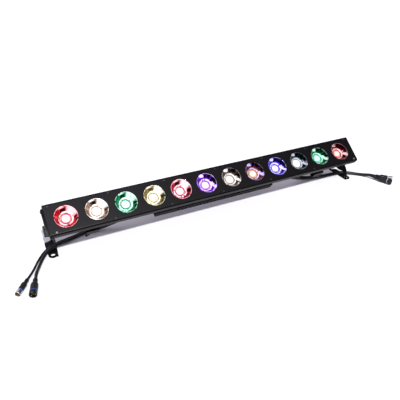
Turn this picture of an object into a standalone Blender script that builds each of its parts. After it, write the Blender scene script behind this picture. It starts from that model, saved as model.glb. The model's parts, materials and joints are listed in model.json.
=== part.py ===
"""LED strip batten: twelve COB lamps in a black bar that stands on two end brackets.

Units are metres. X runs along the bar, +Y runs away from the lit side and +Z is up.
The origin is on the floor, under the middle of the bar without its cords.
Most fixed pieces are modelled in the housing's own frame, in which x is along the bar, y is the
depth behind the lit face and z runs up the face; an empty holds that frame, tilted back.
"""
import math

import bmesh
import bpy
from mathutils import Matrix, Vector

MM = 0.001
GAP = 0.3 * MM                      # clearance between touching pieces

# --- the bar -------------------------------------------------------------------------------
TILT = math.radians(52.0)           # how far the lit face leans back from upright
LENS_HEIGHT = 112 * MM              # middle of the lamp row above the floor
LAMP_COUNT = 12
LAMP_PITCH = 82 * MM
PANEL_HALF_LENGTH = 503.2 * MM
PANEL_HALF_WIDTH = 45 * MM
PANEL_DEPTH = 20 * MM
PANEL_WALL = 2.5 * MM
PANEL_FACE = 3 * MM
PANEL_CHAMFER = 4 * MM
CHAMFER_DEPTH = 3 * MM
END_CHAMFER = 1 * MM
END_TRIM = (508.5 * MM, 8 * MM, 38 * MM)    # reach, front depth and half width of the end strips
HOLE_RADIUS = 31.75 * MM
HOLE_SIDES = 24
FACE_SCREWS = {"left_face_screw": -484 * MM, "right_face_screw": 490 * MM}
FACE_SCREW_UP = -37.5 * MM

# --- the heat-sink housing behind the panel ------------------------------------------------
HOUSING_HALF_LENGTH = 484 * MM
HOUSING_FRONT_WIDTH = 38 * MM       # half widths: the side walls draw in towards the fins' tips
HOUSING_BACK_WIDTH = 31 * MM
HOUSING_WALL = 2.5 * MM
HOUSING_FRONT = PANEL_DEPTH + GAP
HOUSING_BACK = 60 * MM
FLANGE_BACK = HOUSING_FRONT + 3 * MM
FLANGE_HALF = (501.5 * MM, 43.5 * MM)
POCKET_HALF_WIDTH = 35 * MM
WEB_FRONT = 23.5 * MM
WEB_BACK = 27.5 * MM
FIN_HALF = 1 * MM
FIN_PLACES = [23 * MM, 15 * MM, 7 * MM, -1 * MM, -15 * MM, -23 * MM]
CAP_THICKNESS = 3 * MM

# --- the bracket pivot ---------------------------------------------------------------------
PIVOT_UP = -8 * MM                  # along the face
PIVOT_DEPTH = 55 * MM
STUD_RADIUS = 3.9 * MM
STUD_HOLE_RADIUS = 4.4 * MM
BRACKET_INNER = HOUSING_HALF_LENGTH + GAP + CAP_THICKNESS + 1.0 * MM
BRACKET_PLATE = 3 * MM
FOOT_OUTER = 512.3 * MM
FOOT_THICKNESS = 2.5 * MM
KNOB_BASE = 502.5 * MM
KNOB_OUTER = 511 * MM
KNOB_RADIUS = 17 * MM

# --- the power box on the back -------------------------------------------------------------
BOX_HALF_LENGTH = 200 * MM
BOX_HALF_WIDTH = 35 * MM
BOX_FRONT = HOUSING_BACK + GAP
BOX_BACK = 85 * MM
BOX_WALL = 1.5 * MM
BOX_LIP = 8 * MM                    # edge turned in onto the heat sink
VENT_COUNT = 22
VENT_PITCH = 12 * MM
VENT_HALF = (1.75 * MM, 6 * MM)
BUTTON_UP = -9.5 * MM

# --- hanging brackets and their clamp levers -----------------------------------------------
HANGER_X = 385 * MM
HANGER_HALF_LENGTH = 18 * MM
HANGER_HALF_WIDTH = 38 * MM
HANGER_BACK = 82 * MM
HANGER_SHEET = 3 * MM
HANGER_FOOT = 14 * MM
LEVER_X = 379 * MM
LEVER_UP = -27 * MM

# --- cords ---------------------------------------------------------------------------------
POWER_RADIUS = 4 * MM
DATA_RADIUS = 3 * MM
POWER_GLAND = (-16 * MM, 73 * MM)   # up the face, depth
DATA_GLAND = (5 * MM, 73 * MM)
GLAND_LENGTH = 32 * MM

# The bar is centred in depth between the panel's lower front edge and the hangers' upper corner.
FRONT_REACH = -PANEL_HALF_WIDTH * math.sin(TILT) + CHAMFER_DEPTH * math.cos(TILT)
REAR_REACH = HANGER_HALF_WIDTH * math.sin(TILT) + HANGER_BACK * math.cos(TILT)
LENS_Y = -(FRONT_REACH + REAR_REACH) / 2

BLACK_PAINT = ("black_paint", (0.016, 0.015, 0.018), 0.48, 0.0)
BLACK_METAL = ("black_metal", (0.02, 0.02, 0.022), 0.4, 0.6)
BLACK_PLASTIC = ("black_plastic", (0.018, 0.018, 0.02), 0.45, 0.0)
RUBBER = ("rubber", (0.02, 0.02, 0.021), 0.6, 0.0)
CHROME = ("chrome", (0.86, 0.86, 0.88), 0.12, 1.0)
STEEL = ("steel", (0.62, 0.62, 0.64), 0.3, 1.0)
BOARD_WHITE = ("board_white", (0.75, 0.75, 0.72), 0.5, 0.0)
BOARD_GREEN = ("board_green", (0.03, 0.16, 0.07), 0.45, 0.0)
ALUMINIUM = ("aluminium", (0.7, 0.7, 0.72), 0.35, 1.0)
WINDOW = ("window", (0.02, 0.03, 0.05), 0.1, 0.0)
LAMP_COLOURS = [
    (1.0, 0.05, 0.08), (1.0, 0.86, 0.7), (0.0, 0.75, 0.3), (1.0, 0.85, 0.55),
    (1.0, 0.08, 0.2), (0.5, 0.1, 1.0), (1.0, 0.84, 0.72), (1.0, 0.55, 0.35),
    (0.25, 0.15, 1.0), (0.85, 0.95, 1.0), (0.0, 0.7, 0.35), (1.0, 0.2, 0.2),
]


def clear_scene():
    for item in list(bpy.data.objects):
        bpy.data.objects.remove(item, do_unlink=True)


def material(spec):
    name, colour, roughness, metallic = spec
    found = bpy.data.materials.get(name)
    if found:
        return found
    made = bpy.data.materials.new(name)
    made.use_nodes = True
    shader = made.node_tree.nodes["Principled BSDF"]
    shader.inputs["Base Color"].default_value = (*colour, 1.0)
    shader.inputs["Roughness"].default_value = roughness
    shader.inputs["Metallic"].default_value = metallic
    return made


def empty(name, place, rotation=(0, 0, 0)):
    made = bpy.data.objects.new(name, None)
    made.location = place
    made.rotation_euler = rotation
    bpy.context.scene.collection.objects.link(made)
    return made


def finish_object(name, bm, spec, parent=None, place=(0, 0, 0), smooth=False):
    """Turn a bmesh into a named object with its material."""
    bmesh.ops.recalc_face_normals(bm, faces=bm.faces)
    mesh = bpy.data.meshes.new(name)
    bm.to_mesh(mesh)
    bm.free()
    mesh.materials.append(material(spec))
    if smooth:
        mesh.shade_smooth()
        mesh.set_sharp_from_angle(angle=math.radians(35))
    made = bpy.data.objects.new(name, mesh)
    made.location = place
    made.parent = parent
    bpy.context.scene.collection.objects.link(made)
    return made


def loft(bm, rings):
    """Closed body through rings of equal length, with a flat face at each end."""
    rows = [[bm.verts.new(point) for point in ring] for ring in rings]
    count = len(rows[0])
    for low, high in zip(rows, rows[1:]):
        for i in range(count):
            j = (i + 1) % count
            bm.faces.new((low[i], low[j], high[j], high[i]))
    bm.faces.new(rows[0])
    bm.faces.new(list(reversed(rows[-1])))


def ring_body(bm, profile, sides, centre, axis="y"):
    """Turn a closed (radius, along) outline about an axis: a body with a hole through it."""
    rows = [circle(radius, along, sides, centre, axis) for radius, along in profile]
    rows = [[bm.verts.new(point) for point in ring] for ring in rows]
    for low, high in zip(rows, rows[1:] + rows[:1]):
        for i in range(sides):
            j = (i + 1) % sides
            bm.faces.new((low[i], low[j], high[j], high[i]))


def circle(radius, along, sides, centre, axis="y", phase=0.0):
    """Points of a circle about a line along one of the axes."""
    cx, cy, cz = centre
    points = []
    for i in range(sides):
        angle = phase + 2 * math.pi * i / sides
        a = radius * math.cos(angle)
        b = radius * math.sin(angle)
        if axis == "x":
            points.append((cx + along, cy + a, cz + b))
        elif axis == "y":
            points.append((cx + a, cy + along, cz + b))
        else:
            points.append((cx + a, cy + b, cz + along))
    return points


def turned(bm, profile, sides, centre, axis="y", phase=0.0):
    """Solid of revolution through (radius, along) steps, closed by flat ends."""
    loft(bm, [circle(radius, along, sides, centre, axis, phase) for radius, along in profile])


def block(bm, low, high):
    """Box between two corners."""
    (x0, y0, z0), (x1, y1, z1) = low, high
    loft(bm, [
        [(x0, y0, z), (x1, y0, z), (x1, y1, z), (x0, y1, z)] for z in (z0, z1)
    ])


def prism(bm, outline, start, end, axis="x"):
    """Extrude a flat outline. Along x the outline is (y, z); along y it is (x, z)."""
    if axis == "x":
        rings = [[(x, a, b) for a, b in outline] for x in (start, end)]
    else:
        rings = [[(a, y, b) for a, b in outline] for y in (start, end)]
    loft(bm, rings)


def arc(centre, radius, start, end, steps):
    """Points of an arc in a plane, angles in degrees."""
    points = []
    for i in range(steps + 1):
        angle = math.radians(start + (end - start) * i / steps)
        points.append((centre[0] + radius * math.cos(angle), centre[1] + radius * math.sin(angle)))
    return points


def combine(target, bm, operation, name):
    """Cut a shape from an object, or join it on, with an exact Boolean."""
    bmesh.ops.recalc_face_normals(bm, faces=bm.faces)
    mesh = bpy.data.meshes.new(name)
    bm.to_mesh(mesh)
    bm.free()
    tool = bpy.data.objects.new(name, mesh)
    tool.parent = target.parent
    tool.location = target.location
    tool.hide_render = True
    tool.display_type = "WIRE"
    bpy.context.scene.collection.objects.link(tool)
    boolean = target.modifiers.new(name, "BOOLEAN")
    boolean.operation = operation
    boolean.solver = "EXACT"
    boolean.object = tool


def cut(target, bm, name):
    combine(target, bm, "DIFFERENCE", name)


def lamp_places():
    middle = (LAMP_COUNT - 1) / 2
    return [(i - middle) * LAMP_PITCH for i in range(LAMP_COUNT)]


def housing_to_world(x, depth, up):
    """World place of a point given in the housing's frame."""
    y = LENS_Y + depth * math.cos(TILT) + up * math.sin(TILT)
    z = LENS_HEIGHT - depth * math.sin(TILT) + up * math.cos(TILT)
    return Vector((x, y, z))


# --- lit side ------------------------------------------------------------------------------
def make_front_panel(frame):
    """Shallow tray with chamfered long edges, a strip on each end and a hole for each lamp."""
    def rectangle(inset, depth, end_inset=None):
        x = PANEL_HALF_LENGTH - (inset if end_inset is None else end_inset)
        z = PANEL_HALF_WIDTH - inset
        return [(-x, depth, -z), (x, depth, -z), (x, depth, z), (-x, depth, z)]

    bm = bmesh.new()
    loft(bm, [
        rectangle(PANEL_CHAMFER, 0, END_CHAMFER),
        rectangle(0, CHAMFER_DEPTH),
        rectangle(0, PANEL_DEPTH),
        rectangle(PANEL_WALL, PANEL_DEPTH),
        rectangle(PANEL_WALL, PANEL_FACE + CHAMFER_DEPTH),
        rectangle(PANEL_WALL + PANEL_CHAMFER, PANEL_FACE),
    ])
    panel = finish_object("front_panel", bm, BLACK_PAINT, frame)
    reach, front, wide = END_TRIM
    for side, end in ((-1, "left"), (1, "right")):
        strip = bmesh.new()
        near, far = sorted((side * (PANEL_HALF_LENGTH - 1 * MM), side * reach))
        block(strip, (near, front, -wide), (far, PANEL_DEPTH - 1 * MM, wide))
        combine(panel, strip, "UNION", f"front_panel_{end}_strip")
    holes = bmesh.new()
    for x in lamp_places():
        turned(holes, [(HOLE_RADIUS, -5 * MM), (HOLE_RADIUS, 8 * MM)], HOLE_SIDES, (x, 0, 0))
    for x in FACE_SCREWS.values():
        turned(holes, [(1.9 * MM, -5 * MM), (1.9 * MM, 8 * MM)], 8, (x, 0, FACE_SCREW_UP))
    cut(panel, holes, "panel_holes")


def make_face_screws(frame):
    """Low round heads near the face's lower corners, one node each."""
    for name, x in FACE_SCREWS.items():
        bm = bmesh.new()
        steps = [(1.4 * MM, 6 * MM), (1.4 * MM, -GAP), (3.1 * MM, -GAP),
                 (2.8 * MM, -1.1 * MM), (1.6 * MM, -1.6 * MM)]
        turned(bm, steps, 10, (0, 0, 0))
        finish_object(name, bm, STEEL, frame, (x, 0, FACE_SCREW_UP), smooth=True)


def make_lamps(frame):
    """Chromed reflector cups, open at the back, and a COB disc standing in each of them."""
    inner = [(30.2, 0.5), (29.4, 6), (26.2, 11.2), (21.2, 15.4), (14.2, 18.2)]
    outer = [(14.8, 19.6), (22.4, 16.8), (27.6, 12.4), (30.9, 6.6), (31.1, 0.5)]
    cup = [(radius * MM, along * MM) for radius, along in inner + outer]
    for number, x in enumerate(lamp_places(), start=1):
        bm = bmesh.new()
        ring_body(bm, cup, 16, (0, 0, 0))
        finish_object(f"reflector_{number:02d}", bm, CHROME, frame, (x, 0, 0), smooth=True)
        bm = bmesh.new()
        steps = [(13.0 * MM, 21.0 * MM), (13.0 * MM, 19.3 * MM), (11.6 * MM, 18.2 * MM)]
        turned(bm, steps, 12, (0, 0, 0))
        colour = ("lamp_%02d" % number, LAMP_COLOURS[number - 1], 0.35, 0.0)
        finish_object(f"led_{number:02d}", bm, colour, frame, (x, 0, 0), smooth=True)


def make_led_board(frame):
    """Aluminium-core circuit strip that carries the twelve lamps on the heat sink's web."""
    bm = bmesh.new()
    block(bm, (-478 * MM, 21.3 * MM, -24 * MM), (478 * MM, WEB_FRONT - GAP, 24 * MM))
    finish_object("led_board", bm, BOARD_WHITE, frame)


# --- body ----------------------------------------------------------------------------------
def housing_width(depth):
    """Half width over the side walls at a depth."""
    along = (depth - FLANGE_BACK) / (HOUSING_BACK - FLANGE_BACK)
    return HOUSING_FRONT_WIDTH + (HOUSING_BACK_WIDTH - HOUSING_FRONT_WIDTH) * along


def make_rear_housing(frame):
    """Extruded heat sink: a flange behind the tray, two walls, a web and fins at the back."""
    flange = FLANGE_HALF[1]
    pocket = POCKET_HALF_WIDTH
    root = housing_width(WEB_BACK) - HOUSING_WALL
    tip = HOUSING_BACK_WIDTH
    outline = [
        (HOUSING_FRONT, -flange), (HOUSING_FRONT, -pocket), (WEB_FRONT, -pocket),
        (WEB_FRONT, pocket), (HOUSING_FRONT, pocket), (HOUSING_FRONT, flange),
        (FLANGE_BACK, flange), (FLANGE_BACK, HOUSING_FRONT_WIDTH),
        (HOUSING_BACK, tip), (HOUSING_BACK, tip - HOUSING_WALL), (WEB_BACK, root),
    ]
    for fin in FIN_PLACES:
        outline += [
            (WEB_BACK, fin + FIN_HALF), (HOUSING_BACK, fin + FIN_HALF),
            (HOUSING_BACK, fin - FIN_HALF), (WEB_BACK, fin - FIN_HALF),
        ]
    outline += [(WEB_BACK, -root), (HOUSING_BACK, HOUSING_WALL - tip), (HOUSING_BACK, -tip),
                (FLANGE_BACK, -HOUSING_FRONT_WIDTH), (FLANGE_BACK, -flange)]
    bm = bmesh.new()
    prism(bm, outline, -HOUSING_HALF_LENGTH, HOUSING_HALF_LENGTH)
    housing = finish_object("rear_housing", bm, BLACK_PAINT, frame)
    for side, end in ((-1, "left"), (1, "right")):
        plate = bmesh.new()
        near, far = sorted((side * (HOUSING_HALF_LENGTH - 2 * MM), side * FLANGE_HALF[0]))
        block(plate, (near, HOUSING_FRONT, -flange), (far, FLANGE_BACK, flange))
        combine(housing, plate, "UNION", f"rear_housing_{end}_flange")


def make_end_caps(frame):
    """Plates that close the heat sink's ends, each with a round lug for the pivot stud."""
    lug = 12 * MM
    rise = math.degrees(math.asin((HOUSING_BACK - PIVOT_DEPTH) / lug))
    front = FLANGE_BACK + GAP
    wide = housing_width(front)
    outline = [(front, -wide), (front, wide), (HOUSING_BACK, HOUSING_BACK_WIDTH)]
    outline += arc((PIVOT_DEPTH, PIVOT_UP), lug, 90 - rise, -90 + rise, 8)
    outline += [(HOUSING_BACK, -HOUSING_BACK_WIDTH)]
    for side, name in ((-1, "left_end_cap"), (1, "right_end_cap")):
        inner = side * (HOUSING_HALF_LENGTH + GAP)
        outer = inner + side * CAP_THICKNESS
        bm = bmesh.new()
        prism(bm, outline, inner, outer)
        cap = finish_object(name, bm, BLACK_PAINT, frame)
        hole = bmesh.new()
        centre = (inner, PIVOT_DEPTH, PIVOT_UP)
        turned(hole, [(STUD_HOLE_RADIUS, -9 * MM), (STUD_HOLE_RADIUS, 9 * MM)], 12, centre, "x")
        cut(cap, hole, name + "_holes")


# --- power box -----------------------------------------------------------------------------
def make_power_box(frame):
    """Sheet box on the fins, open towards them, with a row of vents in each long wall."""
    def rectangle(inset, depth):
        x = BOX_HALF_LENGTH - inset
        z = BOX_HALF_WIDTH - inset
        return [(-x, depth, -z), (x, depth, -z), (x, depth, z), (-x, depth, z)]

    bm = bmesh.new()
    loft(bm, [
        rectangle(2 * MM, BOX_BACK),
        rectangle(0, BOX_BACK - 2 * MM),
        rectangle(0, BOX_FRONT),
        rectangle(BOX_LIP, BOX_FRONT),
        rectangle(BOX_LIP, BOX_FRONT + BOX_WALL),
        rectangle(BOX_WALL, BOX_FRONT + BOX_WALL),
        rectangle(BOX_WALL, BOX_BACK - BOX_WALL),
    ])
    box = finish_object("power_box", bm, BLACK_PAINT, frame)
    holes = bmesh.new()
    first = -(VENT_COUNT - 1) / 2 * VENT_PITCH
    depth = (BOX_FRONT + BOX_BACK) / 2
    half_x, half_y = VENT_HALF
    for side in (-1, 1):
        wall = side * (BOX_HALF_WIDTH - BOX_WALL / 2)
        for i in range(VENT_COUNT):
            x = first + i * VENT_PITCH
            block(holes, (x - half_x, depth - half_y, wall - 3 * MM),
                  (x + half_x, depth + half_y, wall + 3 * MM))
    for side in (-1, 1):
        for up, away in (POWER_GLAND, DATA_GLAND):
            centre = (side * (BOX_HALF_LENGTH - BOX_WALL / 2), away, up)
            turned(holes, [(6.2 * MM, -3 * MM), (6.2 * MM, 3 * MM)], 12, centre, "x")
    block(holes, (-42 * MM, BOX_BACK - 5 * MM, -15 * MM), (42 * MM, BOX_BACK + 5 * MM, 15 * MM))
    cut(box, holes, "box_holes")


def make_electronics(frame):
    """Switching supply and driver board inside the power box."""
    bm = bmesh.new()
    block(bm, (-180 * MM, 62 * MM, -26 * MM), (-62 * MM, 81 * MM, 26 * MM))
    finish_object("power_supply", bm, ALUMINIUM, frame)
    bm = bmesh.new()
    block(bm, (60 * MM, 64 * MM, -26 * MM), (176 * MM, 65.6 * MM, 26 * MM))
    finish_object("control_board", bm, BOARD_GREEN, frame)


def make_control_panel(frame):
    """Plate over the opening in the box's back, with a display window and four buttons."""
    bm = bmesh.new()
    front = BOX_BACK + GAP
    back = front + 2 * MM
    block(bm, (-50 * MM, front, -18 * MM), (50 * MM, back, 18 * MM))
    panel = finish_object("control_panel", bm, BLACK_PLASTIC, frame)
    holes = bmesh.new()
    block(holes, (-38 * MM, front - 3 * MM, -2 * MM), (10 * MM, back + 3 * MM, 12 * MM))
    for x in button_places():
        steps = [(3.4 * MM, front - 3 * MM), (3.4 * MM, back + 3 * MM)]
        turned(holes, steps, 12, (x, 0, BUTTON_UP))
    cut(panel, holes, "control_panel_holes")
    bm = bmesh.new()
    block(bm, (-37.7 * MM, front - 0.5 * MM, -1.7 * MM), (9.7 * MM, back - 0.4 * MM, 11.7 * MM))
    finish_object("display_window", bm, WINDOW, frame)
    for number, x in enumerate(button_places(), start=1):
        bm = bmesh.new()
        steps = [(4.2 * MM, front - 1.7 * MM), (4.2 * MM, front - GAP), (3.0 * MM, front - GAP),
                 (3.0 * MM, back + 1.3 * MM), (2.4 * MM, back + 1.6 * MM)]
        turned(bm, steps, 12, (0, 0, 0))
        finish_object(f"menu_button_{number}", bm, BLACK_PLASTIC, frame, (x, 0, BUTTON_UP),
                      smooth=True)


def button_places():
    return [(-33 + 15 * i) * MM for i in range(4)]


def make_glands(frame):
    """A hexagon gland and a tapered strain relief for each cord, two on each end of the box."""
    kinds = {"power": (POWER_GLAND, POWER_RADIUS), "data": (DATA_GLAND, DATA_RADIUS)}
    for side, end in ((-1, "left"), (1, "right")):
        for kind, ((up, away), cord) in kinds.items():
            steps = [(5.8 * MM, -8 * MM), (5.8 * MM, GAP), (9 * MM, GAP), (9 * MM, 7 * MM),
                     (7 * MM, 8 * MM), (6.4 * MM, 14 * MM), (cord + 0.9 * MM, GLAND_LENGTH)]
            steps = [(radius, side * along) for radius, along in steps]
            bm = bmesh.new()
            turned(bm, steps, 12, (0, 0, 0), "x")
            place = (side * BOX_HALF_LENGTH, away, up)
            finish_object(f"{end}_{kind}_gland", bm, BLACK_PLASTIC, frame, place, smooth=True)


# --- hanging brackets ----------------------------------------------------------------------
def make_hangers(frame):
    """Channel-shaped hanging brackets across the fins, each with a hole for a clamp's bolt."""
    front = HOUSING_BACK + GAP
    wall = HANGER_HALF_WIDTH
    sheet = HANGER_SHEET
    back = HANGER_BACK
    foot = HANGER_FOOT
    outline = [
        (front, -wall), (back, -wall), (back, wall), (front, wall), (front, wall - foot),
        (front + sheet, wall - foot), (front + sheet, wall - sheet), (back - sheet, wall - sheet),
        (back - sheet, -wall + sheet), (front + sheet, -wall + sheet),
        (front + sheet, -wall + foot), (front, -wall + foot),
    ]
    for side, name in ((-1, "left_hanger"), (1, "right_hanger")):
        middle = side * HANGER_X
        bm = bmesh.new()
        prism(bm, outline, middle - HANGER_HALF_LENGTH, middle + HANGER_HALF_LENGTH)
        hanger = finish_object(name, bm, BLACK_METAL, frame)
        holes = bmesh.new()
        turned(holes, [(5.5 * MM, 70 * MM), (5.5 * MM, 90 * MM)], 12, (middle, 0, 6 * MM))
        stud = (side * LEVER_X, 0, LEVER_UP)
        turned(holes, [(2.9 * MM, 70 * MM), (2.9 * MM, 90 * MM)], 8, stud)
        cut(hanger, holes, name + "_holes")


def make_clamp_levers(frame):
    """Clamp lever on each hanger: a stud, a round hub and an arm that points outward."""
    for side, name in ((-1, "left_clamp_lever"), (1, "right_clamp_lever")):
        bm = bmesh.new()
        base = HANGER_BACK + GAP
        steps = [(2.4 * MM, 66 * MM), (2.4 * MM, base), (7 * MM, base), (7 * MM, base + 12 * MM),
                 (5.6 * MM, base + 14 * MM)]
        turned(bm, steps, 12, (0, 0, 0), phase=math.radians(15))
        lever = finish_object(name, bm, BLACK_PLASTIC, frame,
                              (side * LEVER_X, 0, LEVER_UP), smooth=True)
        arm = bmesh.new()
        rings = []
        for along, half, low, high in ((4, 4.4, 4.5, 12.5), (16, 4.2, 6, 14.5), (26, 3.6, 6.5, 14)):
            slope = -0.36 * along * MM
            x = side * along * MM
            rings.append([
                (x, base + low * MM, slope - half * MM), (x, base + high * MM, slope - half * MM),
                (x, base + high * MM, slope + half * MM), (x, base + low * MM, slope + half * MM),
            ])
        loft(arm, rings)
        combine(lever, arm, "UNION", name + "_arm")


# --- end brackets --------------------------------------------------------------------------
def bracket_outline():
    """Side view of the bracket plate, about its pivot: (y, z), counter-clockwise from the front."""
    low = -pivot_height() + FOOT_THICKNESS / 2
    points = arc((0, 0), 16 * MM, 25, 205, 12)
    points += [(-20.5 * MM, -14 * MM), (-27.5 * MM, -21 * MM), (-33 * MM, -29.5 * MM),
               (-36.5 * MM, -40 * MM), (-38 * MM, -51 * MM), (-38 * MM, low)]
    points += [(48.5 * MM, low), (48.5 * MM, low + 8 * MM), (46 * MM, -45 * MM),
               (38 * MM, -30 * MM), (25 * MM, -10 * MM)]
    return points


def window_outline():
    """Opening under the pivot, on arcs about it, so that cords clear it at every tilt."""
    below = -pivot_height() - 5 * MM
    points = arc((0, 0), 41.5 * MM, -48, -112, 8)
    points += [(-25.5 * MM, -46.5 * MM), (-30 * MM, -54.5 * MM), (-30.5 * MM, below)]
    points += [(42 * MM, below), (42 * MM, -46.5 * MM)]
    return points


def pivot_height():
    return LENS_HEIGHT - PIVOT_DEPTH * math.sin(TILT) + PIVOT_UP * math.cos(TILT)


def foot_outline():
    """Plan of the foot about the pivot: (x outward, y), rounded about its bolt hole."""
    inner = BRACKET_INNER + 0.05 * MM   # a little outside the plate's inner face, for the union
    radius = (FOOT_OUTER - inner) / 2
    middle = (FOOT_OUTER + inner) / 2
    points = [(inner, -26 * MM)]
    points += arc((middle, -26 * MM), radius, 180, 360, 10)[1:]
    points += [(FOOT_OUTER, 31 * MM), (FOOT_OUTER - 2 * MM, 39 * MM), (500 * MM, 42 * MM),
               (inner, 48.5 * MM)]
    return points


def make_brackets(pivot_frames):
    """Bracket: a windowed plate on the pivot and a foot turned outward on the floor."""
    floor = -pivot_height()
    for side, name in ((-1, "left_bracket"), (1, "right_bracket")):
        inner = side * BRACKET_INNER
        outer = inner + side * BRACKET_PLATE
        bm = bmesh.new()
        prism(bm, bracket_outline(), inner, outer)
        bracket = finish_object(name, bm, BLACK_METAL, pivot_frames[side])
        window = bmesh.new()
        prism(window, window_outline(), inner - side * 4 * MM, outer + side * 4 * MM)
        combine(bracket, window, "DIFFERENCE", name + "_window")
        foot = bmesh.new()
        outline = [(side * x, y) for x, y in foot_outline()]
        loft(foot, [[(x, y, z) for x, y in outline] for z in (floor, floor + FOOT_THICKNESS)])
        combine(bracket, foot, "UNION", name + "_foot")
        holes = bmesh.new()
        turned(holes, [(STUD_HOLE_RADIUS, -5 * MM), (STUD_HOLE_RADIUS, 5 * MM)], 16,
               (inner, 0, 0), "x")
        middle = side * (BRACKET_INNER + FOOT_OUTER) / 2
        for radius, x, y in ((6 * MM, middle, -25 * MM), (2.3 * MM, side * 506 * MM, 33 * MM)):
            turned(holes, [(radius, floor - 5 * MM), (radius, floor + 8 * MM)], 16, (x, y, 0), "z")
        combine(bracket, holes, "DIFFERENCE", name + "_holes")


def make_knobs(pivot_frames):
    """Locking knobs: a lobed head on a collar, and the stud that runs into the nut."""
    lobes = 6
    sides = 24
    for side, name in ((-1, "left_knob"), (1, "right_knob")):
        def ring(radius, x, waist=1.0):
            points = []
            for i in range(sides):
                angle = 2 * math.pi * i / sides
                reach = radius * (1 - (1 - waist) * (0.5 - 0.5 * math.cos(lobes * angle)))
                points.append((side * x, reach * math.cos(angle), reach * math.sin(angle)))
            return points

        collar = BRACKET_INNER + BRACKET_PLATE + GAP
        bm = bmesh.new()
        loft(bm, [
            ring(STUD_RADIUS, HOUSING_HALF_LENGTH - 7 * MM), ring(STUD_RADIUS, collar),
            ring(9 * MM, collar), ring(8 * MM, KNOB_BASE),
            ring(KNOB_RADIUS - 1 * MM, KNOB_BASE, 0.84), ring(KNOB_RADIUS, KNOB_BASE + 2 * MM, 0.84),
            ring(KNOB_RADIUS, KNOB_OUTER - 2 * MM, 0.84),
            ring(KNOB_RADIUS - 2.5 * MM, KNOB_OUTER, 0.84),
        ])
        finish_object(name, bm, BLACK_PLASTIC, pivot_frames[side], smooth=True)


# --- cords ---------------------------------------------------------------------------------
# Each route is (x, y, z) in metres, from the strain relief to the connector. The cords leave the
# box level, sag to the floor behind the bar, pass through the bracket's window just above its
# foot and run forward along the floor.
CORD_ROUTES = {
    "left_power_cord": (POWER_RADIUS, [
        (-0.2323, 0.0088, 0.0446), (-0.2490, 0.0088, 0.0440), (-0.2655, 0.0110, 0.0412),
        (-0.2830, 0.0162, 0.0355), (-0.3010, 0.0232, 0.0275), (-0.3200, 0.0305, 0.0190),
        (-0.3400, 0.0365, 0.0115), (-0.3610, 0.0402, 0.0066), (-0.3830, 0.0412, 0.0044),
        (-0.4060, 0.0392, 0.0041), (-0.4300, 0.0312, 0.0043), (-0.4520, 0.0233, 0.0052),
        (-0.4720, 0.0165, 0.0064), (-0.4900, 0.0070, 0.0080), (-0.5070, -0.0055, 0.0093),
        (-0.5215, -0.0230, 0.0091), (-0.5350, -0.0440, 0.0066), (-0.5460, -0.0665, 0.0055),
        (-0.5545, -0.0900, 0.0096), (-0.5610, -0.1130, 0.0098),
    ]),
    "left_data_cord": (DATA_RADIUS, [
        (-0.2323, 0.0254, 0.0576), (-0.2490, 0.0254, 0.0570), (-0.2655, 0.0265, 0.0540),
        (-0.2830, 0.0295, 0.0470), (-0.3010, 0.0340, 0.0370), (-0.3200, 0.0392, 0.0257),
        (-0.3400, 0.0440, 0.0155), (-0.3610, 0.0478, 0.0083), (-0.3830, 0.0490, 0.0045),
        (-0.4060, 0.0472, 0.0034), (-0.4300, 0.0394, 0.0038), (-0.4525, 0.0315, 0.0050),
        (-0.4730, 0.0245, 0.0066), (-0.4915, 0.0150, 0.0074), (-0.5100, 0.0040, 0.0072),
        (-0.5265, -0.0125, 0.0055), (-0.5415, -0.0340, 0.0038), (-0.5535, -0.0575, 0.0045),
        (-0.5650, -0.0810, 0.0072), (-0.5785, -0.1015, 0.0074),
    ]),
    "right_power_cord": (POWER_RADIUS, [
        (0.2323, 0.0088, 0.0446), (0.2490, 0.0088, 0.0440), (0.2655, 0.0105, 0.0412),
        (0.2830, 0.0140, 0.0355), (0.3010, 0.0185, 0.0275), (0.3200, 0.0228, 0.0190),
        (0.3400, 0.0257, 0.0115), (0.3610, 0.0266, 0.0066), (0.3830, 0.0250, 0.0044),
        (0.4060, 0.0212, 0.0041), (0.4300, 0.0160, 0.0043), (0.4530, 0.0112, 0.0052),
        (0.4740, 0.0080, 0.0064), (0.4930, 0.0052, 0.0074), (0.5110, -0.0010, 0.0078),
        (0.5290, -0.0110, 0.0060), (0.5450, -0.0235, 0.0045), (0.5590, -0.0385, 0.0055),
        (0.5700, -0.0560, 0.0096), (0.5785, -0.0750, 0.0098),
    ]),
    "right_data_cord": (DATA_RADIUS, [
        (0.2323, 0.0254, 0.0576), (0.2490, 0.0254, 0.0570), (0.2655, 0.0262, 0.0540),
        (0.2830, 0.0282, 0.0470), (0.3010, 0.0312, 0.0370), (0.3200, 0.0340, 0.0257),
        (0.3400, 0.0358, 0.0155), (0.3610, 0.0360, 0.0083), (0.3830, 0.0340, 0.0045),
        (0.4060, 0.0298, 0.0034), (0.4300, 0.0245, 0.0038), (0.4535, 0.0196, 0.0050),
        (0.4750, 0.0160, 0.0066), (0.4945, 0.0128, 0.0074), (0.5135, 0.0070, 0.0072),
        (0.5320, -0.0030, 0.0054), (0.5490, -0.0160, 0.0038), (0.5640, -0.0310, 0.0045),
        (0.5790, -0.0475, 0.0072), (0.5935, -0.0645, 0.0074),
    ]),
}


def make_cords():
    """Round cords as bevelled curves."""
    for name, (radius, route) in CORD_ROUTES.items():
        curve = bpy.data.curves.new(name, "CURVE")
        curve.dimensions = "3D"
        curve.bevel_depth = radius
        curve.bevel_resolution = 2
        curve.use_fill_caps = True
        spline = curve.splines.new("POLY")
        spline.points.add(len(route) - 1)
        for point, place in zip(spline.points, route):
            point.co = (*place, 1.0)
        curve.materials.append(material(RUBBER))
        made = bpy.data.objects.new(name, curve)
        bpy.context.scene.collection.objects.link(made)


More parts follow.
